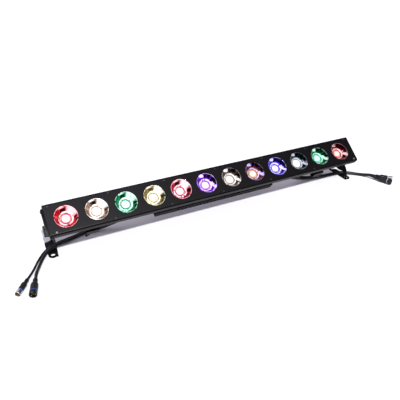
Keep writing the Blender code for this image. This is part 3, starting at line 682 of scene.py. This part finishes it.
# --- lamps ---------------------------------------------------------------------------------
# The emitter's colour, then the cup's painted reflection colour, painted shadow colour and painted glint
# colour, and how far the cup is filled with its painted glow
LAMPS = [
    ((1.0, 0.05, 0.10), (0.80, 0.01, 0.03), (0.16, 0.0, 0.004), (1.0, 0.42, 0.52), 1.0),
    ((1.0, 0.72, 0.58), (0.50, 0.34, 0.25), (0.06, 0.025, 0.008), (0.95, 0.88, 0.84), 1.0),
    ((0.0, 0.55, 0.28), (0.0, 0.36, 0.15), (0.0, 0.07, 0.02), (0.42, 0.92, 0.72), 1.0),
    ((0.90, 0.70, 0.30), (0.42, 0.32, 0.08), (0.02, 0.06, 0.004), (0.92, 0.84, 0.66), 1.0),
    ((0.90, 0.06, 0.14), (0.50, 0.01, 0.05), (0.09, 0.0, 0.015), (0.92, 0.42, 0.52), 1.0),
    ((0.62, 0.12, 1.0), (0.24, 0.02, 0.85), (0.03, 0.0, 0.12), (0.72, 0.34, 1.0), 0.85),
    ((0.85, 0.70, 0.60), (0.16, 0.12, 0.10), (0.010, 0.006, 0.004), (0.60, 0.52, 0.50), 0.55),
    ((1.0, 0.42, 0.16), (0.22, 0.04, 0.05), (0.018, 0.002, 0.003), (0.26, 0.10, 0.75), 0.5),
    ((0.28, 0.20, 1.0), (0.07, 0.03, 0.72), (0.008, 0.002, 0.08), (0.30, 0.24, 1.0), 0.75),
    ((0.92, 1.0, 0.98), (0.012, 0.05, 0.035), (0.003, 0.004, 0.007), (0.05, 0.06, 0.22), 0.4),
    ((0.05, 0.80, 0.45), (0.0, 0.26, 0.11), (0.001, 0.02, 0.008), (0.06, 0.55, 0.30), 0.6),
    ((1.0, 0.20, 0.16), (0.28, 0.005, 0.02), (0.02, 0.001, 0.002), (0.55, 0.08, 0.11), 0.45),
]
CUP_RADIUS = 31 * MM
FIRST_OBLIQUE = 6                   # from this lamp on, the cups' painted reflections show the dark side of the room
CUP_GLOW = 0.34                     # painted glow: emission of a cup's coloured part where it is filled
HALO_GLOW = 0.55                    # painted glow: extra emission next to the emitter


def band(value, low, high, soft):
    """1 between two values, with soft edges."""
    return value.step(low - soft, low + soft) * value.step(high - soft, high + soft, 1.0, 0.0)


def cup_look(number, lit, colour, deep, glint, fill):
    """Mirror-bright cup that carries its lamp's colour in broken arcs, as painted reflections, painted glare,
    painted shade and a painted glow.
    """
    look = Look(f"reflector_painted_reflections_{number:02d}", metallic=1.0)
    x, _, z = look.parts()
    x, z = x / CUP_RADIUS, z / CUP_RADIUS
    reach = (x * x + z * z).math("SQRT")
    cosine, sine = x / (reach + 0.001), z / (reach + 0.001)
    seed = number * 3.7             # moves each cup to its own part of the noise

    def sector(angle, half, soft=0.12):
        """1 within half of an angle around the cup, in degrees from +x towards +z."""
        turn = math.radians(angle)
        toward = cosine * math.cos(turn) + sine * math.sin(turn)
        edge = math.cos(math.radians(half))
        return toward.step(edge - soft, edge + soft)

    # noise fields that shape the painted reflections and painted shade in the cup
    streaks = look.noise(3.4, 3, 0.6, 0.5, look.vector(cosine + seed, sine - seed, reach * 0.7))
    broken = look.noise(5.0, 3, 0.6, 0.8, look.vector(x + seed, z + seed, 0.0))
    field = streaks * 0.6 + broken * 0.4
    if number < FIRST_OBLIQUE:
        # before FIRST_OBLIQUE: painted glare and reflections (glare) and painted shade (dark, patch)
        glare = sector(40, 34) * band(reach, 0.62, 0.97, 0.04) * field.step(0.36, 0.46, 0.55, 1.0)
        glare = glare + sector(104, 15, 0.05) * band(reach, 0.87, 0.96, 0.02)
        low_left = sector(-122, 24) * band(reach, 0.7, 0.95, 0.05)
        glare = glare + low_left * streaks.step(0.42, 0.56) * 0.7
        dark = sector(-48, 46) * band(reach, 0.78, 0.97, 0.04) * streaks.step(0.4, 0.6, 1.0, 0.2)
        patch = sector(94, 20, 0.06) * band(reach, 0.64, 0.84, 0.05)
        patch = patch * field.step(0.56, 0.46, 0.35, 0.9)
        dark = dark + patch + sector(-10, 12, 0.03) * band(reach, 0.7, 0.82, 0.04) * 0.8
        dark = dark + sector(-165, 18) * band(reach, 0.76, 0.97, 0.03) * 0.6
    else:
        # from FIRST_OBLIQUE on: painted reflection of a slanted light and of a window (glare) and painted shade
        # (dark)
        slant = (x * 0.98 + z * 0.17 - 0.67).math("ABSOLUTE").step(0.06, 0.115, 1.0, 0.0)
        slant = slant * band(z, -0.74, 0.14, 0.08) * broken.step(0.40, 0.47)
        window = band(x + z * 0.4, -0.22, 0.34, 0.06) * band(z, 0.76, 0.93, 0.03)
        # painted glints near the cup's rim
        rim_glints = sector(-48, 40) * band(reach, 0.86, 0.95, 0.03) * broken.step(0.52, 0.58)
        glare = (slant + window * broken.step(0.36, 0.46)) * 1.5 + rim_glints
        dark = sector(34, 50) * reach.step(0.7, 0.78) * broken.step(0.5, 0.62, 1.0, 0.5)
        dark = dark + sector(-150, 40) * band(reach, 0.74, 0.96, 0.04) * 0.6
    # painted reflected ring round the emitter
    bright_ring = band(reach, 0.51, 0.64, 0.02) * broken.step(0.40, 0.47, 0.1, 1.25)
    # painted shade that breaks the reflected rings
    ring_shade_breaks = sector(-75, 62, 0.05) * band(reach, 0.485, 0.525, 0.012) * broken.step(0.42, 0.5)
    ring_shade_breaks = ring_shade_breaks + sector(150, 40, 0.05) * band(reach, 0.6, 0.655, 0.012) * broken.step(0.44, 0.5)
    # painted highlight along the lip
    rim = band(reach, 0.955, 0.985, 0.008) * field.step(0.4, 0.5)
    # white: painted glare and highlights; shadow: painted shade
    white = glare * (1.0 - 0.25 * (1.0 - fill)) + bright_ring * (0.75 + 0.25 * fill)
    white = white + rim * fill * 0.9
    white = (white - ring_shade_breaks).math("MINIMUM", 1.0).math("MAXIMUM", 0.0)
    shadow = (dark + ring_shade_breaks).math("MINIMUM", 1.0)

    # painted reflection colours, from the painted shadow colour through the lamp's colour to the glint
    tone = look.ramp(field, [
        (0.38, deep), (0.45, shade(colour, 0.5)), (0.50, colour), (0.58, colour), (0.66, glint)])
    tone = look.mix(shadow * 0.92, tone, shade(deep, 0.6))
    tone = look.mix(white, tone, tuple(0.55 * channel + 0.45 for channel in glint))
    # painted glow of the lamp's light inside the cup, with a stronger painted halo next to the emitter
    glow = (shadow * -0.85 + 1.0) * (CUP_GLOW * fill)
    halo = reach.step(0.47, 0.62, 1.0, 0.0) * 0.7
    # base colour halved and darker still under the painted shade; emission carries the painted glare and glow
    look.set(base_color=look.mix(shadow * 0.35 + 0.5, tone, (0.0, 0.0, 0.0)),
             emission_color=look.mix((halo - white).math("MAXIMUM", 0.0), tone, lit),
             emission_strength=glow + white + halo * HALO_GLOW, roughness=0.08 + broken * 0.06)
    return look.material


def emitter_look(number, colour, fill):
    """Lit phosphor disc: blown out in the middle, coloured towards its edge."""
    look = Look(f"emitter_{number:02d}", roughness=0.4)
    x, _, z = look.parts()
    reach = (x * x + z * z).math("SQRT") / MM
    mottle = look.noise(500, 2)
    core = 7.6 + 3.0 * fill             # radius of the blown-out middle, mm
    hot = reach.step(core - 1.6, core + 1.2, 1.0, 0.0)
    tint = 0.75 - 0.5 * fill            # share of the lamp's colour left in that middle
    pale = tuple(tint * channel + 1.0 - tint for channel in colour)
    look.set(base_color=look.mix(hot, shade(colour, 0.25), shade(pale, 0.4)),
             emission_color=look.mix(hot, colour, pale),
             emission_strength=hot * (0.3 + 0.5 * fill) + 0.68 + mottle * 0.1)
    return look.material


def make_lamps():
    """Parabolic reflector cups with their lips and emitter discs."""
    mouth, throat, steps = 30.3, 21.3, 14
    start, fall = 0.9, 13.6
    bowl = []
    for i in range(steps + 1):
        radius = mouth + (throat - mouth) * i / steps
        share = (mouth ** 2 - radius ** 2) / (mouth ** 2 - throat ** 2)
        bowl.append((radius, start + fall * share))
    well = [(21.0, 14.9), (20.2, 15.4), (18.4, 16.4), (16.4, 17.4), (14.9, 18.1), (14.1, 18.4)]
    lip = [(31.1, 1.6), (31.1, 0.8), (30.95, 0.55), (30.7, 0.5), (30.45, 0.62)]
    outside = [(14.1, 19.2), (15.2, 19.2), (21.6, 16.4), (26.9, 12.4), (30.2, 6.8), (30.9, 2.2)]
    for number, (x, colours) in enumerate(zip(LAMP_X, LAMPS), start=1):
        matrix = at(x / MM, 0, 0)
        # turned() works about z, so the cup's depth is turned onto y and its material reads x, z
        cup = turned(lip + bowl + well + outside, 96, closed=True)
        bmesh.ops.transform(cup, matrix=Z_TO_DEPTH, verts=cup.verts)
        cup = put(f"reflector_cup_{number:02d}", cup, matrix, "housing",
                  cup_look(number, *colours), (f"reflector_{number:02d}",),
                  angle=50)
        repaint_rear(cup, LOOKS["cup_back"], 0.02)
        disc = turned([(13.0, 21.0), (13.0, 19.0), (12.9, 18.6), (12.5, 18.45), (11.9, 18.4),
                       (11.7, 18.2), (9.5, 17.4), (6.5, 16.8), (3.2, 16.5), (0.1, 16.4)], 64)
        bmesh.ops.transform(disc, matrix=Z_TO_DEPTH, verts=disc.verts)
        disc = put(f"emitter_disc_{number:02d}", disc, matrix, "housing",
                   emitter_look(number, colours[0], colours[-1]),
                   (f"led_{number:02d}",))
        repaint_rear(disc, LOOKS["cup_back"], -0.4)


# --- lit side ------------------------------------------------------------------------------
def make_panel():
    """Folded tray with chamfered front edges, turned-in hole rims and its screws."""
    half_x, half_z = 503.2, 45.0

    def rectangle(inset, end_inset, depth, radius):
        """Outline at a depth, drawn in along its long edges and at its ends."""
        outline = rounded(-half_x + end_inset, -half_z + inset, half_x - end_inset,
                          half_z - inset, radius, 3)
        return [Vector((x * MM, depth * MM, z * MM)) for x, z in outline]

    tray = bmesh.new()
    skin(tray, [
        rectangle(4.2, 1.0, 0, 0.4), rectangle(3.6, 0.5, 0.15, 0.4), rectangle(0.5, 0.1, 2.5, 0.5),
        rectangle(0.1, 0, 2.9, 0.5), rectangle(0, 0, 3.6, 0.6), rectangle(0, 0, 20, 0.6),
        rectangle(2.5, 2.5, 20, 0.3), rectangle(2.5, 2.5, 6, 0.3), rectangle(6.5, 6.5, 3, 0.3),
    ])
    holes = []
    for x in LAMP_X:
        hole = turned([(32.6, -2), (32.05, -0.02), (31.75, 0.35), (31.75, 6)], 72)
        bmesh.ops.transform(hole, verts=hole.verts,
                            matrix=Matrix.Translation((x, 0, 0)) @ Z_TO_DEPTH)
        holes.append(hole)
    shell = put("panel_shell", carved(tray, holes), HOUSING, "housing", LOOKS["panel"],
                ("front_panel",), angle=8)
    repaint_rear(shell, LOOKS["panel_wall"], -0.9)

    bright = screw_mesh(3.1, 1.6, LOOKS["steel"])
    for name, x in (("left_face_screw", -484), ("right_face_screw", 490)):
        put(name + "_head", bright, facing(at(x, -0.1, -37.5), (0, -1, 0)), "housing", None,
            (name,))
    dark = screw_mesh(2.6, 1.1, LOOKS["black_screw"])
    places = [facing(at(x, -0.05, up), (0, -1, 0)) for x in (-328, -164, 0, 164, 328)
              for up in (37.5, -37.5)]
    places += [facing(at(x, -0.05, 37.5), (0, -1, 0)) for x in (-490, 490)]
    screws("panel_screw", dark, places)
    wall = screw_mesh(3.4, 1.9, LOOKS["black_screw"])
    for end, side in SIDES.items():
        near, far = sorted((side * 503.25, side * 508.5))
        strip = bmesh.new()
        skin(strip, [[Vector((x * MM, depth * MM, up * MM)) for depth, up in
                      rounded(8, -38, 19, 38, 2.0)] for x in (near, far)])
        put(f"{end}_end_strip", strip, HOUSING, "housing", LOOKS["cap"],
            bevel=0.6 * MM)
        places = [facing(at(side * 508.45, 13.5, up), (side, 0, 0)) for up in (31, -31)]
        screws(f"{end}_strip_screw", wall, places)


# --- body ----------------------------------------------------------------------------------
def make_body():
    """Heat sink, end caps, power box and what is inside, from the CAD's own shapes."""
    refined("rear_housing", "heat_sink", "housing", LOOKS["sink"], 0.35 * MM)
    refined("led_board", "lamp_board", "housing", LOOKS["led_board"],
            0.15 * MM)
    cap_screw = screw_mesh(2.9, 0.5, LOOKS["black_screw"], flat=True)
    for end, side in SIDES.items():
        refined(f"{end}_end_cap", f"{end}_cap", "housing", LOOKS["cap"], 0.4 * MM)
        places = [facing(at(side * 487.25, depth, up), (side, 0, 0))
                  for depth, up in ((29, 32), (29, -32), (54, 27), (54, -27))]
        screws(f"{end}_cap_screw", cap_screw, places)
    refined("power_box", "supply_box", "housing", LOOKS["box"], 0.3 * MM)
    refined("power_supply", "supply_unit", "housing", LOOKS["case"], 0.6 * MM)
    refined("control_board", "driver_board", "housing", LOOKS["board"], 0.1 * MM)
    box_screw = screw_mesh(3.2, 1.8, LOOKS["black_screw"])
    places = [facing(at(x, 84.95, up), (0, 1, 0))
              for x in (-190, -95, 95, 190) for up in (28, -28)]
    screws("box_screw", box_screw, places)


def make_driver_parts():
    """Chips and capacitors on the driver board."""
    for number, (x, up, wide, tall, rise) in enumerate(
            ((84, 6, 14, 14, 1.6), (112, -8, 10, 6, 1.4), (112, 8, 10, 6, 1.4),
             (136, 0, 8, 20, 1.2)), start=1):
        block = outline_block(rounded(-wide / 2, -tall / 2, wide / 2, tall / 2, 0.5), 0, rise)
        put(f"driver_chip_{number}", block, at(x, 65.7, up), "housing", LOOKS["chip"],
            bevel=0.15 * MM)
    can = fillet([(4.0, 0), (4.0, 0.8), (3.8, 1.2), (4.0, 1.6), (4.0, 9.4), (3.4, 10), (0.05, 10)],
                 0.3)
    for number, (x, up) in enumerate(((156, 16), (156, 5), (156, -6), (156, -17)), start=1):
        put(f"driver_capacitor_{number}", turned(can, 32), facing(at(x, 65.7, up), (0, 1, 0)),
            "housing", LOOKS["nickel"])


def make_panel_controls():
    """Control plate with its bezel and screws, display window and four domed buttons."""
    plate = outline_block(rounded(-50, -18, 50, 18, 3.5), 85.3, 87.3)
    window = outline_block(rounded(-38, -2, 10, 12, 1.2), 80, 92)
    tools = [window]
    button_x, button_up = [-33 + 15 * i for i in range(4)], -9.5
    for x in button_x:
        hole = turned([(3.4, 80), (3.4, 92)], 40)
        bmesh.ops.transform(hole, verts=hole.verts,
                            matrix=Matrix.Translation((x * MM, 0, button_up * MM)) @ Z_TO_DEPTH)
        tools.append(hole)
    put("control_plate", carved(plate, tools), HOUSING, "housing", LOOKS["plastic"],
        ("control_panel",), bevel=0.3 * MM)
    glass = outline_block(rounded(-37.7, -1.7, 9.7, 11.7, 1.0), 84.8, 86.9)
    put("display_glass", glass, HOUSING, "housing", LOOKS["glass"],
        ("display_window",), bevel=0.25 * MM)
    cap = [(4.2, 83.6), (4.2, 85.0), (3.0, 85.0), (3.0, 87.9), (2.8, 88.35), (2.3, 88.65),
           (1.3, 88.85), (0.05, 88.9)]
    for number, x in enumerate(button_x, start=1):
        put(f"button_cap_{number}", turned(cap, 40), facing(at(x, 0, button_up), (0, 1, 0)),
            f"menu_button_{number}", LOOKS["button"], (f"menu_button_{number}",),
            angle=40)
    small = screw_mesh(2.2, 1.0, LOOKS["black_screw"])
    screws("control_screw", small,
           [facing(at(x, 87.25, up), (0, 1, 0)) for x in (-45, 45) for up in (-13.5, 13.5)])


def make_glands():
    """Hexagonal nuts with ribbed, tapered sleeves where the cords leave the box."""
    for end, side in SIDES.items():
        for kind, up, cord in (("power", -16, 4.0), ("data", 5, 3.0)):
            matrix = facing(at(side * 200, 73, up), (side, 0, 0))
            name = f"{end}_{kind}_gland"
            nut = turned([(8.0, 0.3), (8.9, 0.9), (8.9, 6.3), (8.0, 6.9)], 6)
            put(name + "_nut", nut, matrix, "housing", LOOKS["plastic"],
                bevel=0.35 * MM)
            sleeve = [(5.8, -8), (5.8, 0.1), (6.9, 0.1), (6.9, 7.6), (7.0, 8.0)]
            for i in range(7):
                along = 8.4 + i * 3.1
                radius = 6.8 - (6.8 - cord - 1.0) * (i / 7)
                sleeve += [(radius, along), (radius, along + 1.5), (radius - 0.55, along + 1.9),
                           (radius - 0.6, along + 2.7)]
            sleeve += [(cord + 0.95, 30.4), (cord + 0.9, 31.6), (cord + 0.6, 32)]
            put(name + "_sleeve", turned(sleeve, 40), matrix, "housing", LOOKS["grip"],
                (name,), angle=28)


# --- brackets ------------------------------------------------------------------------------
def make_brackets():
    """Feet and hangers from the CAD's shapes, and lobed knobs on threaded studs."""
    for end, side in SIDES.items():
        refined(f"{end}_bracket", f"{end}_bracket_plate", f"{end}_bracket", LOOKS["bracket"],
                0.5 * MM)
        refined(f"{end}_hanger", f"{end}_hanger_channel", "housing", LOOKS["bracket"],
                0.6 * MM)
        matrix = facing(Matrix.Translation((0, PIVOTS[end].y, PIVOTS[end].z)), (side, 0, 0))
        head = [(9.0, 491.65), (8.7, 492.4), (8.2, 494), (8.1, 500.6), (9.4, 501.7),
                (14.0, 502.5, 6, 0.92), (16.4, 502.7, 6, 0.86), (17.0, 503.4, 6, 0.85),
                (17.0, 506.5, 6, 0.85), (17.0, 509.8, 6, 0.85), (16.6, 510.6, 6, 0.86),
                (15.6, 511, 6, 0.88), (11.6, 511, 6, 0.95), (9.2, 510.95), (8.6, 510.7),
                (8.4, 510.0), (7.8, 510.0), (7.6, 510.6), (6.8, 510.8), (0.05, 510.9)]
        head = [step if len(step) == 4 else (*step, 6, 1.0) for step in head]
        put(f"{end}_knob_head", turned(head, 120), matrix, f"{end}_knob", LOOKS["grip"],
            (f"{end}_knob",), angle=32)
        stud = [(3.2, 477), (3.8, 478), *repeated(((3.85, 0), (3.35, 0.5)), 478.5, 1, 13),
                (3.6, 491.4), (3.6, 491.6)]
        put(f"{end}_knob_stud", turned(stud, 32), matrix, f"{end}_knob", LOOKS["steel"],
            angle=60)


def squarish(half_y, half_z, sides=24, squareness=0.7):
    """Superellipse about x, between an ellipse and a rectangle."""
    points = []
    for k in range(sides):
        angle = 2 * math.pi * k / sides
        y, z = math.cos(angle), math.sin(angle)
        points.append(Vector((0, math.copysign(abs(y) ** squareness, y) * half_y,
                              math.copysign(abs(z) ** squareness, z) * half_z)))
    return points


def make_levers():
    """Clamp levers: a hub and a bent, tapering arm in one, on a threaded stud."""
    for end, side in SIDES.items():
        base = 82.3
        matrix = at(side * 379, 0, -27)
        hub = turned(fillet([(7.0, base), (7.0, base + 9), (6.6, base + 12.5), (5.0, base + 14),
                             (4.4, base + 13.4), (0.05, base + 13.4)], 0.8), 48)
        bmesh.ops.rotate(hub, matrix=Z_TO_DEPTH.to_3x3(), verts=hub.verts)
        arm = bmesh.new()
        rings = []
        steps, tip_scale = 12, 0.72
        for i in range(steps + 1):
            t = i / steps
            along = 1.5 + 24.3 * t
            centre = Vector((side * along, base + 8.4 + 2.1 * t * (2 - t), -0.36 * along))
            half_wide = 4.5 - 0.9 * t + 0.35 * math.sin(math.pi * t)
            half_thick = 3.9 - 0.5 * t
            if i == steps:
                half_wide, half_thick = half_wide * tip_scale, half_thick * tip_scale
            rings.append([(centre + offset) * MM for offset in squarish(half_thick, half_wide)])
        skin(arm, rings)
        put(f"{end}_lever_handle", carved(hub, [arm], "UNION"), matrix, f"{end}_clamp_lever",
            LOOKS["plastic"], (f"{end}_clamp_lever",), angle=40)
        stud = [(2.0, 66), (2.4, 67), *repeated(((2.4, 0), (2.05, 0.5)), 67.5, 1, 14),
                (2.3, 81.8), (2.3, 82.2)]
        put(f"{end}_lever_stud", turned(stud, 24), facing(matrix, (0, 1, 0)),
            f"{end}_clamp_lever", LOOKS["steel"], angle=60)


# --- studio --------------------------------------------------------------------------------
SKY_COLOUR = (0.90, 0.85, 1.0, 1.0)
# the room is brighter over the object's left end than beyond its right end
SKY_FADE = {"From Min": -0.05, "From Max": 0.6, "To Min": 0.98, "To Max": 0.12}
KEY_ENERGY, KEY_SPREAD = 3.9, math.radians(3.5)
KEY_DIRECTION = (0.0, 0.63, -0.78)
FLOOR_HALF = 9                      # m


def make_studio():
    """Pale floor, soft room light and one soft key light from the front."""
    scene = bpy.context.scene
    scene.view_settings.view_transform = "Standard"
    world = bpy.data.worlds.new("studio")
    world.use_nodes = True
    nodes, links = world.node_tree.nodes, world.node_tree.links
    sky = nodes["Background"]
    sky.inputs["Color"].default_value = SKY_COLOUR
    direction = nodes.new("ShaderNodeTexCoord")
    split = nodes.new("ShaderNodeSeparateXYZ")
    fade = nodes.new("ShaderNodeMapRange")
    fade.interpolation_type = "SMOOTHSTEP"
    for name, value in SKY_FADE.items():
        fade.inputs[name].default_value = value
    links.new(direction.outputs["Generated"], split.inputs["Vector"])
    links.new(split.outputs["X"], fade.inputs["Value"])
    links.new(fade.outputs["Result"], sky.inputs["Strength"])
    scene.world = world

    floor = bmesh.new()
    bmesh.ops.create_grid(floor, x_segments=2, y_segments=2, size=FLOOR_HALF)
    data = bpy.data.meshes.new("floor")
    floor.to_mesh(data)
    floor.free()
    data.materials.append(floor_look())
    ground = bpy.data.objects.new("floor", data)
    scene.collection.objects.link(ground)

    key = bpy.data.lights.new("key", "SUN")
    key.energy = KEY_ENERGY
    key.angle = KEY_SPREAD
    lamp = bpy.data.objects.new("key", key)
    lamp.rotation_mode = "QUATERNION"
    lamp.rotation_quaternion = Vector(KEY_DIRECTION).to_track_quat("-Z", "Y")
    scene.collection.objects.link(lamp)


make_camera()
make_cords()
make_studio()
make_panel()
make_lamps()
make_body()
make_driver_parts()
make_panel_controls()
make_glands()
make_brackets()
make_levers()
